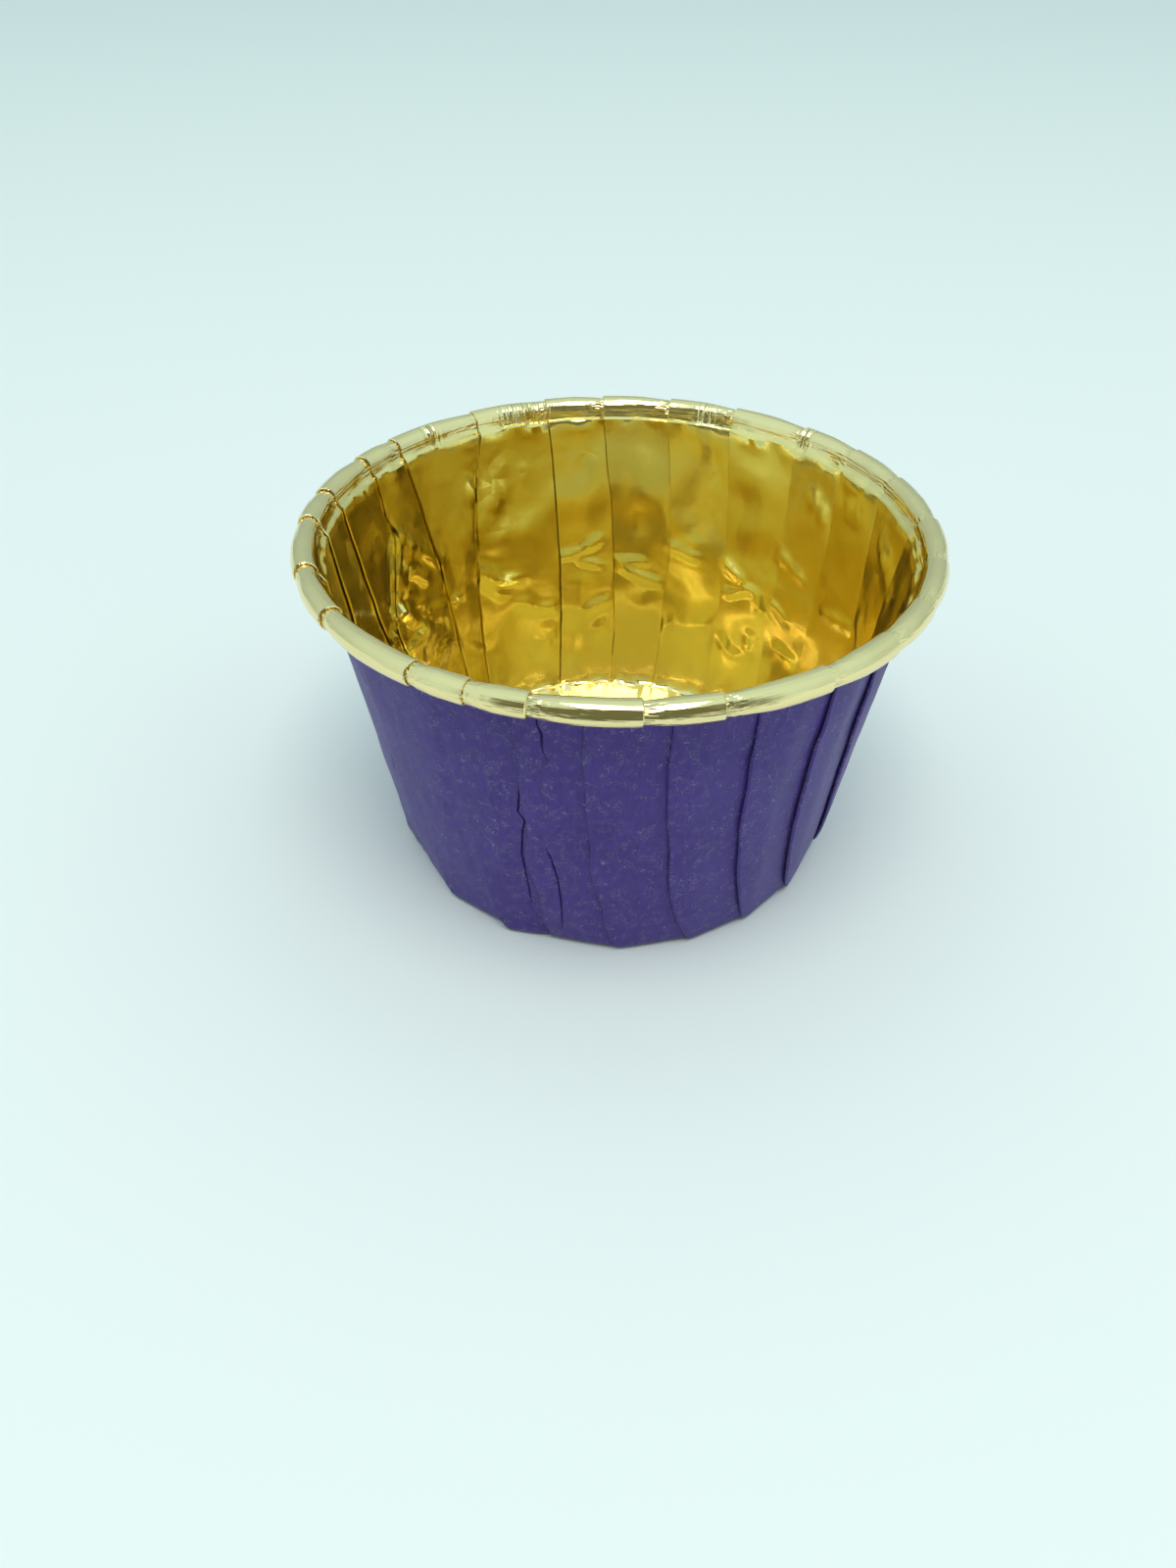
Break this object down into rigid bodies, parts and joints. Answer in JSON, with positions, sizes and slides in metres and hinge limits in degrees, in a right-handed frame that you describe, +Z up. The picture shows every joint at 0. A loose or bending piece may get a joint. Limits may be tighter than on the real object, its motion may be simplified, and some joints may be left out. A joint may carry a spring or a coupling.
{
  "type": "cupcake liner",
  "caption": "Round flared baking cup of pleated paper, purple outside and gold foil inside, with a flat floor and a rim rolled outwards.",
  "frame": {"origin": "middle of the cup's underside, on the table", "axes": "+Z up along the cup's axis, +X to the right and -Y towards the viewer of the picture"},
  "size_m": [0.068, 0.0678, 0.039],
  "materials": {
    "purple_paper": "satin",
    "gold_foil": "polished"
  },
  "bodies": {
    "root": {"baking_cup": "purple_paper"}
  },
  "joints": []
}
